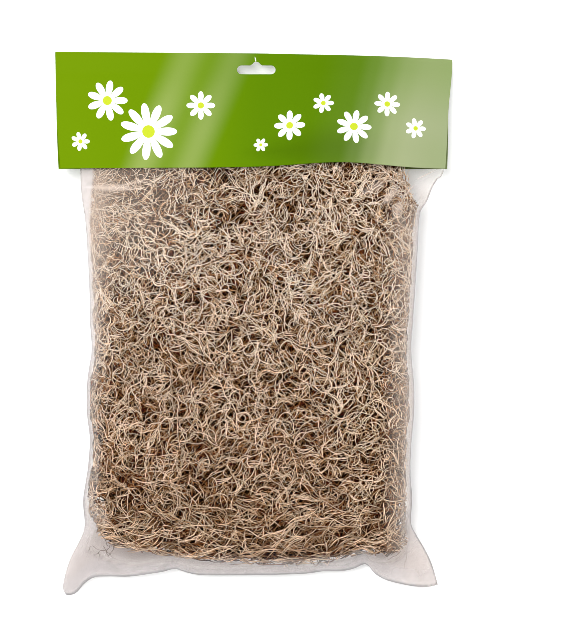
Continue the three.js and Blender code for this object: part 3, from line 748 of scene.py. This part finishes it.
# paler towards the bag's sides, where light comes in from the edge too
apart = node("ShaderNodeSeparateXYZ", Vector=place)
from_middle = math_node("ABSOLUTE", math_node("ADD", apart.outputs["X"], 0.005))
pale_side = math_node("MULTIPLY", ranged(from_middle, 0.112, 0.13, eased=True),
                      math_node("MULTIPLY_ADD", tone, 0.3, 0.25))
links.new(mix(pale_side, shaded_browns, (0.5, 0.41, 0.335, 1)), shader.inputs["Base Color"])
ridges = node("ShaderNodeBump", Strength=0.8, Distance=0.001, Height=ridge)
links.new(ridges.outputs["Normal"], shader.inputs["Normal"])
moss_mat.data.materials.append(mat_brown)
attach(moss_mat, "root")
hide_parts("moss_bunch")

# ---- The film bag ---------------------------------------------------------------------------------
# A tube of clear polythene film, welded across the bottom and stuffed from the mouth. It is tight over
# the moss, creases where the body turns into the neck, and its empty bottom corners stand out as ears.

FILM = 0.16  # the film's thickness in millimetres
FILM_COLUMNS, FILM_ROWS = 84, 104  # faces of each wall across and along


def between(x, start, low, high, end):
    """1 from low to high and eased to 0 at start and at end."""
    return smooth(x, start, low) * (1 - smooth(x, high, end))


def crease(x, down, start, end, width, height):
    """A sharp fold that fades out at both ends of the line from start to end."""
    (x0, d0), (x1, d1) = start, end
    long = math.hypot(x1 - x0, d1 - d0)
    along = ((x - x0) * (x1 - x0) + (down - d0) * (d1 - d0)) / long
    off = ((x - x0) * (d1 - d0) - (down - d0) * (x1 - x0)) / long
    fade = between(along, -0.15 * long, 0.25 * long, 0.7 * long, 1.12 * long)
    return height * fade * np.exp(-np.abs(off / width) ** 1.4)


# Folds of the front as start and end in x and down, width and height.
FOLDS = [
    ((134, 108), (117, 127), 1.3, 2.6),
    ((126, 110), (106, 130), 1.3, 2.0),
    ((130, 107), (154, 96), 1.2, 1.6),
    ((-140, 112), (-86, 104), 3.0, 2.2),
    ((-132, 122), (-70, 118), 4.5, 1.4),
    ((-150, 440), (-100, 404), 2.6, 2.0),
    ((-154, 444), (-70, 421), 2.0, 1.8),
    ((148, 438), (98, 402), 2.6, 2.0),
    ((150, 440), (64, 420), 2.0, 1.8),
    ((96, 430), (84, 398), 2.4, 2.6),
    ((-66, 434), (-58, 412), 2.6, 1.8),
    ((10, 436), (4, 418), 3.0, 1.2),
    ((-40, 436), (-36, 419), 2.4, 1.1),
    ((46, 436), (52, 416), 2.6, 1.2),
]


def film_relief(x, down, u, v, is_front):
    """How far the film stands proud of the bag's plain shape: folds, ripples and the lumps under it."""
    across = np.abs(2 * u - 1)
    fan = np.arctan2(x - 10, 260 - down)
    neck = between(down, 26, 70, 96, 190)
    pleats = np.maximum(0, np.sin(fan * 58 + 1.6 * np.sin(fan * 21) + 2.0)) ** 2.2
    outer = 0.4 + 0.6 * smooth(across, 0.25, 0.9)
    relief = 1.5 * neck * pleats * outer * (0.2 + 0.8 * smooth(down, 97, 112))
    side = between(across, 0.82, 0.93, 0.975, 1.0)
    ripples = np.maximum(0, np.sin(down / 6.5 + 2.4 * np.sin(down / 31) + 3 * across)) ** 1.5
    relief = relief + 1.1 * side * ripples
    low = between(v, 0.93, 0.965, 0.99, 1.0)
    relief = relief + 1.3 * low * (0.5 + 0.5 * np.sin(x / 7.5 + 2.2 * np.sin(x / 19)))
    lumps = 1 + np.sin(x / 6.1 + 2 * np.sin(down / 11))
    relief = relief + 0.35 * lumps * (0.5 + 0.5 * np.sin(down / 7.7 + x / 23))
    if is_front:
        for start, end, width, height in FOLDS:
            relief = relief + crease(x, down, start, end, width, height)
    from_seams = np.clip(np.minimum(u, 1 - u) * 60, 0, 1) * np.clip((1 - v) * 70, 0, 1)
    return relief * from_seams * np.clip(v * 12, 0, 1)


def film_place(u, v, is_front):
    """x, down and height of the film's front or back. Both meet at the seams and flutter at the weld."""
    x, down, front, back = bag_at(u, v)
    edge = edge_height(x, down)
    seam = (u < 1e-6) | (u > 1 - 1e-6) | (v > 1 - 1e-6)
    relief = film_relief(x, down, u, v, is_front)
    flutter = smooth(v, 0.94, 1.0) * (1.2 * np.sin(x / 17 + 0.6) + 0.8 * np.sin(x / 8.1))
    card_room = 0.25 * (1 - smooth(down, 96, 120))
    if is_front:
        height = front + relief - card_room
    else:
        height = np.maximum(back - 0.35 * relief * smooth(back, 0.5, 6), 0.0)
        height = height + card_room * smooth(back, 0.2, 2)
    return x, down, np.where(seam, edge, height) + flutter


def crowded(u, v):
    """The grid's shares across and along, moved towards both ends, where the film bends most."""
    return lerp(u, 0.5 - 0.5 * np.cos(np.pi * u), 0.55), lerp(v, 0.5 - 0.5 * np.cos(np.pi * v), 0.35)


def leaf_shape(place, x, y, half_length, half_width, lean, softness):
    """A pointed shape where two equal discs overlap, drawn by nodes: 1 inside and 0 outside."""
    slim = half_width / half_length
    disc = (1 + slim**2) / (2 * slim)
    placed = node("ShaderNodeMapping", vector_type="TEXTURE", Vector=place, Location=(x, y, 0),
                  Rotation=(0, 0, math.radians(lean)), Scale=(half_length, half_length, 1))
    socket = placed.outputs["Vector"]
    moves = (("MULTIPLY", (1, 1, 0)), ("ABSOLUTE", None), ("ADD", (0, disc - slim, 0)), ("LENGTH", None))
    for operation, value in moves:
        move = node("ShaderNodeVectorMath", operation=operation, Vector=socket)
        if value is not None:
            move.inputs[1].default_value = value
        socket = move.outputs["Value" if operation == "LENGTH" else "Vector"]
    if softness == 0:
        return math_node("LESS_THAN", socket, disc)
    return ranged(socket, disc, disc - slim * softness, eased=True)


def film_sheet(name, is_front):
    """One wall of the bag, with point attributes: HazeAndPaintedLight where the film is dull, with painted
    reflection where it slants at the sides; Bare where no moss lies behind it; and ShadowRim, the painted
    shadow along the right and bottom seams."""
    sheet, u, v = skin_sheet(
        name, FILM_COLUMNS, FILM_ROWS, lambda u, v: film_place(*crowded(u, v), is_front)
    )
    u, v = crowded(u, v)
    x, down, front, back = bag_at(u, v)
    left, right = side_margins(v)
    bare = np.maximum.reduce([
        1 - smooth(front - back, 2.0, 9.0),
        smooth(down - foot_at(x), -3, 2),
        1 - smooth(u, left - 0.003, left + 0.012),
        1 - smooth(1 - u, right - 0.006, right + 0.006),
    ])
    weld = np.exp(-(((1 - v) * 410 - 3.5) / 1.3) ** 2)
    # painted light: the film is cleared at the top right, where the neck faces away from the lamps and lies
    # in shade
    top_right = smooth(x, 90, 130) * (1 - smooth(down, 100, 160))
    bare = bare * (1 - 0.95 * top_right + 0.25 * smooth(v, 0.955, 0.975))
    bare = bare * (1 - 0.22 * smooth(x, 100, 140) * smooth(down, 395, 420))
    wall = smooth(front - back, 8, 16)  # tight and clear above the seam, dull under it
    tip = smooth(x, 132, 148) * smooth(down, 424, 437)
    # painted shadow: a dark line along the right and bottom seams, away from the lamps, fainter at the right
    # ear's tip
    shadow_rim = ((u > 1 - 1e-6) | (v > 1 - 1e-6)) * smooth(down, 94, 104) * (1 - 0.85 * tip)
    haze_and_painted_light = 0.19 * bare * (1 - 0.6 * wall) + 0.1 * weld + 0.45 * shadow_rim
    bare = bare * (1 - 0.65 * wall if is_front else 1 + 0.65 * wall)
    if is_front:  # the upper left side of the body is crumpled and dull
        # along the left side the dull film also carries painted reflection of the bright room, where it
        # slants away from the moss
        haze_and_painted_light = haze_and_painted_light + 0.17 * (1 - smooth(x, -138, -110)) * between(down, 80, 105, 230, 300)
        haze_and_painted_light = haze_and_painted_light + 0.08 * (1 - smooth(x, -115, -10)) * between(down, 80, 100, 130, 230)
        # at the right side too: dull film with painted reflection where it slants
        haze_and_painted_light = haze_and_painted_light + 0.15 * smooth(x, 102, 130) * smooth(down, 115, 150)
    # painted shade: the film's strip along the lit left side is greyed, as the bag's shadow on the floor
    # greys it at the right and the bottom
    painted_shade_left_strip = (1 - smooth(u, 0.0, left + 0.006)) * between(down, 150, 200, 380, 410)
    bare = np.clip(0.6 * bare + 0.4 * painted_shade_left_strip, 0, 1)
    for attribute, shares in (("HazeAndPaintedLight", np.clip(haze_and_painted_light, 0, 0.75)), ("Bare", bare), ("ShadowRim", shadow_rim)):
        layer = sheet.data.attributes.new(attribute, "FLOAT", "POINT")
        layer.data.foreach_set("value", shares.astype(np.float32))
    return sheet


def apply_modifier(piece, kind, **settings):
    """Adds a modifier to a piece and makes its result the piece's own mesh."""
    bpy.context.view_layer.objects.active = piece
    made = piece.modifiers.new(kind, kind)
    for name, value in settings.items():
        setattr(made, name, value)
    bpy.ops.object.modifier_apply(modifier=made.name)


film_bag = close_sheets(film_sheet("film_front", True), film_sheet("film_back", False), "film_bag_skin")
apply_modifier(film_bag, "SOLIDIFY", thickness=FILM * MM, offset=-1)
bpy.ops.object.shade_smooth()


def shader_mix(share, first, second):
    """The first shader turned into the second one by a share."""
    made = node("ShaderNodeMixShader")
    for entry, value in zip(made.inputs, (share, first, second)):
        feed(entry, value)
    return made.outputs["Shader"]


clear_film, nodes, links, shader = new_material("clear polythene film", Roughness=0.3, Specular_IOR_Level=0.3)
place = node("ShaderNodeTexCoord").outputs["Object"]
haze_and_painted_light, bare, shadow_rim = (
    node("ShaderNodeAttribute", attribute_name=name).outputs["Fac"] for name in ("HazeAndPaintedLight", "Bare", "ShadowRim")
)
dull = mix(bare, (0.59, 0.48, 0.4, 1), (0.64, 0.637, 0.66, 1))
# the painted shadow line of the right and bottom seams is dark grey
links.new(mix(shadow_rim, dull, (0.33, 0.32, 0.32, 1)), shader.inputs["Base Color"])
crinkle = node("ShaderNodeTexNoise", Vector=place, Scale=60.0, Detail=2.5, Roughness=0.55, Distortion=1.0)
bump = node("ShaderNodeBump", Strength=0.35, Distance=0.001, Height=crinkle.outputs["Fac"]).outputs["Normal"]
# Milky patches where the film is crumpled, and painted highlights along its sharpest creases: x, y, half
# length, half width, lean, strength and softness.
CRUMPLES_AND_GLINTS = [
    (112, 105.7, 13, 5.0, 48, 0.3, 1.0),
    (118, 94, 10, 6, 73, 0.27, 1.0),
    (98, 112, 16, 5.5, 28, 0.17, 1.0),
    (126.5, 108.6, 11, 1.1, 48, 0.4, 1.0),
    (142.5, 123.8, 13, 0.6, 26, 0.2, 0.9),
    (-116, 112.6, 27, 4.6, -2, 0.3, 1.0),
    (-98, 117, 16, 2.6, 12, 0.2, 1.0),
    (-126, -156, 16, 8, -58, 0.15, 1.0),
]
milk_and_glints = haze_and_painted_light
for x, y, half_length, half_width, lean, strength, softness in CRUMPLES_AND_GLINTS:
    crumple = leaf_shape(place, x * MM, y * MM, half_length * MM, half_width * MM, lean, softness)
    milk_and_glints = math_node("MULTIPLY_ADD", crumple, strength, milk_and_glints)
cloud = ranged(crinkle.outputs["Fac"], 0.3, 0.7, 0.86, 1.14)
milk_and_glints = math_node("MULTIPLY", math_node("MINIMUM", milk_and_glints, 0.8), cloud)
# clear film with a faint gloss that grows where it is seen aslant, and the milky film and painted highlights
# over both
mirror = node("ShaderNodeFresnel", IOR=1.15, Normal=bump)
gloss = node("ShaderNodeBsdfGlossy", Color=(1, 1, 1, 1), Roughness=0.2, Normal=bump)
# where no moss lies behind, less light comes through the film: partly its own dullness, partly painted shade
# of the floor under the empty film
see_through = mix(bare, (0.995, 0.99, 0.988, 1), (0.822, 0.8, 0.793, 1))
clear = node("ShaderNodeBsdfTransparent", Color=see_through)
mirror_share = ranged(mirror.outputs["Fac"], 0.007, 0.2, 0.0, 0.09)
film = shader_mix(mirror_share, clear.outputs["BSDF"], gloss.outputs["BSDF"])
film = shader_mix(milk_and_glints, film, shader.outputs["BSDF"])
links.new(film, nodes["Material Output"].inputs["Surface"])
film_bag.data.materials.append(clear_film)
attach(film_bag, "root")
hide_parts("film_bag")

# ---- The header card ------------------------------------------------------------------------------
# Glossy board, printed on its outside and die-cut with a hang slot, folded once over the bag's mouth.
# The stuffed neck bows its front panel, so the lower edge draws up in the middle.

CARD_HEIGHT, CARD_BOARD = 96.2, 0.5  # of each panel, and the board's thickness
SLOT_WIDTH, SLOT_HEIGHT, SLOT_X, SLOT_DOWN = 32.0, 7.4, 2.0, 13.8
HUMP_WIDTH, HUMP_HEIGHT, HUMP_CROWN = 10.0, 3.0, 2.9  # over the slot, and the radius of its round top
CARD_COLUMNS, CARD_ROWS = 84, 52  # faces of the board across, and along over the fold


def panel_rise(x, down, is_front):
    """How far the inside of a panel stands off the card's middle."""
    edge = edge_height(x, down)
    reach = BODY_TOP - BODY_EDGE if is_front else edge / BACK_FLAT
    gap = lerp(0.3, 1.05, smooth(down, SLOT_DOWN + 2, BAG_MOUTH - 1))
    slack = smooth(down, BAG_MOUTH, 60) * (0.9 if is_front else 0.4)
    return gap + slack + reach * card_arc(x, is_front) * neck_fullness(down)


def panel_place(flat_x, reach_down, is_front):
    """x, down and height of the inside of a panel from its place on the flat board."""
    slip = 0.0085 * flat_x + 0.5 * smooth(flat_x, 0, 55) + 2.7 * np.clip((flat_x - 40) / 125, 0, 1) ** 2
    rise = panel_rise(flat_x, CARD_HEIGHT, is_front) - panel_rise(CARD_WIDTH / 2, CARD_HEIGHT, is_front)
    share = reach_down / CARD_HEIGHT
    down = CARD_BOARD + share * (np.sqrt(CARD_HEIGHT**2 - rise**2) - CARD_BOARD) + slip * (1 - share)
    bow = panel_rise(60.0, down, is_front) / CARD_WIDTH
    side = flat_x / (CARD_WIDTH / 2)
    skew = np.where(side > 0, 3.5 * smooth(share, 0, 0.55), -2.1 * share) * side**2
    x = flat_x * (1 - 8 / 3 * bow**2) - skew
    sign = 1 if is_front else -1
    open_share = lerp(smooth(reach_down, 0, 1.2), 1, smooth(reach_down, 1, 3))
    return x, down, edge_height(x, down) + sign * panel_rise(x, down, is_front) * open_share


def fold_board(u, v):
    """The flat board folded: v runs from the front panel's lower edge over the fold to the back's."""
    flat_x = (u - 0.5) * CARD_WIDTH
    from_fold = np.abs(2 * v - 1) ** 1.25 * CARD_HEIGHT
    front, back = (panel_place(flat_x, from_fold, is_front) for is_front in (True, False))
    at_front = v > 0.5
    return tuple(np.where(at_front, f, b) for f, b in zip(front, back))


header_card, u, v = skin_sheet("header_card_board", CARD_COLUMNS, CARD_ROWS, fold_board)
print_map = header_card.data.uv_layers[0]
print_map.name = "Print"
loop_vertex = np.empty(len(header_card.data.loops), int)
header_card.data.loops.foreach_get("vertex_index", loop_vertex)
from_fold = np.sign(2 * v - 1) * np.abs(2 * v - 1) ** 1.25
print_places = np.stack([u, 0.5 - 0.5 * from_fold], -1)[loop_vertex]
print_map.data.foreach_set("uv", print_places.ravel())
board = {"thickness": CARD_BOARD * MM, "offset": 1, "material_offset": 1, "material_offset_rim": 1}
apply_modifier(header_card, "SOLIDIFY", **board)

# The slot's outline: a long slot with round ends and a hump over its middle, the same left and right.
straight, end_radius, hump = SLOT_WIDTH / 2 - SLOT_HEIGHT / 2, SLOT_HEIGHT / 2, HUMP_WIDTH / 2
arc = np.linspace(0, math.pi, 15)
half = [(straight + end_radius * math.sin(a), -end_radius * math.cos(a)) for a in arc]
for t in np.linspace(0, 1, 7):
    half.append((hump - 1.9 * smooth(t, 0, 1) - 0.4 * t, end_radius + HUMP_HEIGHT * 0.62 * t**1.4))
crown = np.linspace(0.35, math.pi - 0.35, 9)
crown = [(HUMP_CROWN * math.cos(a), end_radius + HUMP_HEIGHT * (0.45 + 0.55 * math.sin(a))) for a in crown]
outline = half + crown + [(-x, y) for x, y in reversed(half)]
slot_y = LENGTH / 2 - SLOT_DOWN
corners = [((x + SLOT_X) * MM, (y + slot_y) * MM, 0.002) for x, y in outline]
die = bpy.data.meshes.new("slot_die")
die.from_pydata(corners, [], [tuple(range(len(corners)))])
slot_die = new_object("slot_die", die)
edit_whole(slot_die, bpy.ops.mesh.extrude_region_move, TRANSFORM_OT_translate={"value": (0, 0, 0.04)})
edit_whole(slot_die, bpy.ops.mesh.normals_make_consistent, inside=False)
apply_modifier(header_card, "BOOLEAN", operation="DIFFERENCE", object=slot_die, solver="EXACT")
bpy.data.objects.remove(slot_die)
bpy.ops.object.select_all(action="DESELECT")
header_card.select_set(True)
bpy.ops.object.shade_smooth_by_angle(angle=math.radians(35))

print_green, nodes, links, shader = new_material(
    "glossy green print", Roughness=0.34, Specular_IOR_Level=0.02, Specular_Tint=(0.8, 1.0, 0.15, 1)
)
board_map = node("ShaderNodeUVMap", uv_map="Print").outputs["UV"]
split = node("ShaderNodeSeparateXYZ", Vector=board_map)
across_print = split.outputs["X"]
print_x = math_node("MULTIPLY_ADD", across_print, CARD_WIDTH, -CARD_WIDTH / 2)
print_down = math_node("MULTIPLY_ADD", split.outputs["Y"], -2 * CARD_HEIGHT, CARD_HEIGHT)
print_place = node("ShaderNodeCombineXYZ", X=print_x, Y=print_down).outputs["Vector"]
GREENS = [(0.0, (0.092, 0.166, 0.001)), (0.3, (0.086, 0.16, 0.001)), (0.55, (0.06, 0.128, 0.001))]
GREENS += [(0.76, (0.055, 0.118, 0.001)), (1.0, (0.085, 0.16, 0.002))]
# a painted shade over the lower part of the front panel, right of the middle
painted_low_shade = leaf_shape(print_place, 66, 84, 85, 30, 0, 1.0)
ground = mix(math_node("MULTIPLY", painted_low_shade, 0.4), ramp(across_print, GREENS), (0.022, 0.05, 0.0005, 1))
# Two soft slanting bands of light at the left, and a pale right end.
BANDS = [(0.25, 0.0), (0.305, 0.55), (0.36, 0.12), (0.41, 0.45), (0.465, 0.0)]
END = [(0.64, 0.0), (0.74, 0.05), (0.78, 0.2), (0.82, 0.5), (0.865, 0.86), (0.91, 1.0), (1.0, 0.9)]
slant = math_node("MULTIPLY_ADD", math_node("MULTIPLY_ADD", print_down, 0.42, print_x), 1 / 380, 0.45)
end_place = math_node("MULTIPLY_ADD", print_down, 0.0006, math_node("SUBTRACT", across_print, 0.029))
streaks, end = ramp(slant, BANDS), ramp(end_place, END)
lower = ranged(print_down, 5, 70, 0.62, 1.0, eased=True)
blur = node("ShaderNodeTexNoise", Vector=board_map, Scale=3.2, Detail=1.0)
light_share = math_node("MULTIPLY", math_node("MAXIMUM", streaks, end), lower)
light_share = math_node("MULTIPLY", light_share, math_node("MULTIPLY_ADD", blur.outputs["Fac"], 0.4, 0.8))
pale_print = mix(across_print, (0.247, 0.3, 0.085, 1), (0.21, 0.238, 0.135, 1))
printed = mix(light_share, ground, pale_print)

# White daisies with yellow-green eyes: x, down, radius and petals.
DAISIES = [(-122, 40, 17, 9), (-88, 66, 24, 11), (-44, 44, 12, 8), (30, 62, 13, 8), (58, 43, 9, 7)]
DAISIES += [(84, 64, 15, 9), (112, 42, 11, 8), (137, 62, 9, 7), (-146, 74, 8, 7), (6, 78, 6, 6)]
all_petals, all_eyes = 0.0, 0.0
for daisy_x, daisy_down, radius, count in DAISIES:
    from_x, from_down = math_node("SUBTRACT", print_x, daisy_x), math_node("SUBTRACT", print_down, daisy_down)
    square = math_node("MULTIPLY_ADD", from_x, from_x, math_node("MULTIPLY", from_down, from_down))
    far = math_node("SQRT", square)
    turn = math_node("MULTIPLY", math_node("ARCTAN2", from_down, from_x), count / 2)
    reach = math_node("POWER", math_node("ABSOLUTE", math_node("COSINE", turn)), 0.6)
    petals = math_node("LESS_THAN", far, math_node("MULTIPLY_ADD", reach, 0.74 * radius, 0.26 * radius))
    eye = math_node("LESS_THAN", far, 0.22 * radius)
    all_petals, all_eyes = math_node("MAXIMUM", petals, all_petals), math_node("MAXIMUM", eye, all_eyes)
printed = mix(all_petals, printed, (0.6, 0.63, 0.56, 1))
printed = mix(all_eyes, printed, (0.34, 0.4, 0.02, 1))
# the crease that a hook has pressed into the board above the slot
crease_mark = leaf_shape(print_place, SLOT_X - 0.7, 4.8, 2.6, 0.42, 78, 0)
printed = mix(crease_mark, printed, (0.66, 0.69, 0.62, 1))
links.new(printed, shader.inputs["Base Color"])

bare_board, nodes, links, shader = new_material("bare card board", Roughness=0.7)
place = node("ShaderNodeTexCoord").outputs["Object"]
pulp = node("ShaderNodeTexNoise", Vector=place, Scale=900.0, Detail=3.0)
paper = ramp(pulp.outputs["Fac"], [(0.0, (0.62, 0.62, 0.58)), (1.0, (0.78, 0.78, 0.74))], "LINEAR")
links.new(paper, shader.inputs["Base Color"])
header_card.data.materials.clear()
header_card.data.materials.append(print_green)
header_card.data.materials.append(bare_board)
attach(header_card, "root")
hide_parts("header_card")

# ---- Floor, light and camera ----------------------------------------------------------------------
# The bag lies on its back on a plain white surface. Two soft lamps hang over it, and the room is pale
# all round and dark overhead, so that the film stays clear. The camera looks straight down.

bpy.ops.object.select_all(action="DESELECT")
bpy.ops.mesh.primitive_plane_add(size=9, location=(0, 0, -0.0004))
floor = bpy.context.object
floor.name = "floor"
floor_white, _, _, _ = new_material(
    "white floor", Roughness=0.9, Base_Color=(0.8, 0.8, 0.8, 1), Specular_IOR_Level=0.0,
    Emission_Color=(1, 1, 1, 1), Emission_Strength=0.08,
)
floor.data.materials.append(floor_white)


def softbox(name, place, size, power, aim=(0.0, 0.0, 0.03)):
    """A square soft lamp at a place, in watts, that faces the aim."""
    lamp = bpy.data.lights.new(name, "AREA")
    lamp.shape, lamp.size, lamp.energy = "SQUARE", size, power
    holder = new_object(name, lamp)
    holder.location = place
    holder.rotation_euler = (Vector(aim) - Vector(place)).to_track_quat("-Z", "Y").to_euler()


softbox("key", (-0.95, 0.95, 2.9), 0.9, 51)
softbox("top", (-0.35, 0.4, 3.0), 0.5, 21.2)

world = bpy.data.worlds.new("studio")
world.use_nodes = True
nodes, links = world.node_tree.nodes, world.node_tree.links
sky_split = node("ShaderNodeSeparateXYZ", Vector=node("ShaderNodeTexCoord").outputs["Generated"])
SKY = [(0.0, 0.35), (0.3, 0.9), (0.7, 1.0), (0.88, 0.1), (1.0, 0.03)]  # brightness by height, dark overhead
sky = ramp(sky_split.outputs["Z"], SKY)
links.new(sky, nodes["Background"].inputs["Color"])
nodes["Background"].inputs["Strength"].default_value = 2.42
bpy.context.scene.world = world

VIEW_HEIGHT = 3.0
FRAME_LEVEL, FRAME_HEIGHT = 0.010, 0.5177  # what the view covers from top to bottom, at this level
camera_data = bpy.data.cameras.new("camera")
camera_data.sensor_width = 36
camera_data.lens = 36 * (VIEW_HEIGHT - FRAME_LEVEL) / FRAME_HEIGHT
camera_data.clip_end = 20
camera = new_object("camera", camera_data)
camera.location = (0.0254, 0.0108, VIEW_HEIGHT)
bpy.context.scene.camera = camera
bpy.context.scene.view_settings.view_transform = "Standard"
bpy.context.scene.cycles.transparent_max_bounces = 24
bpy.context.scene.cycles.filter_width = 0.75
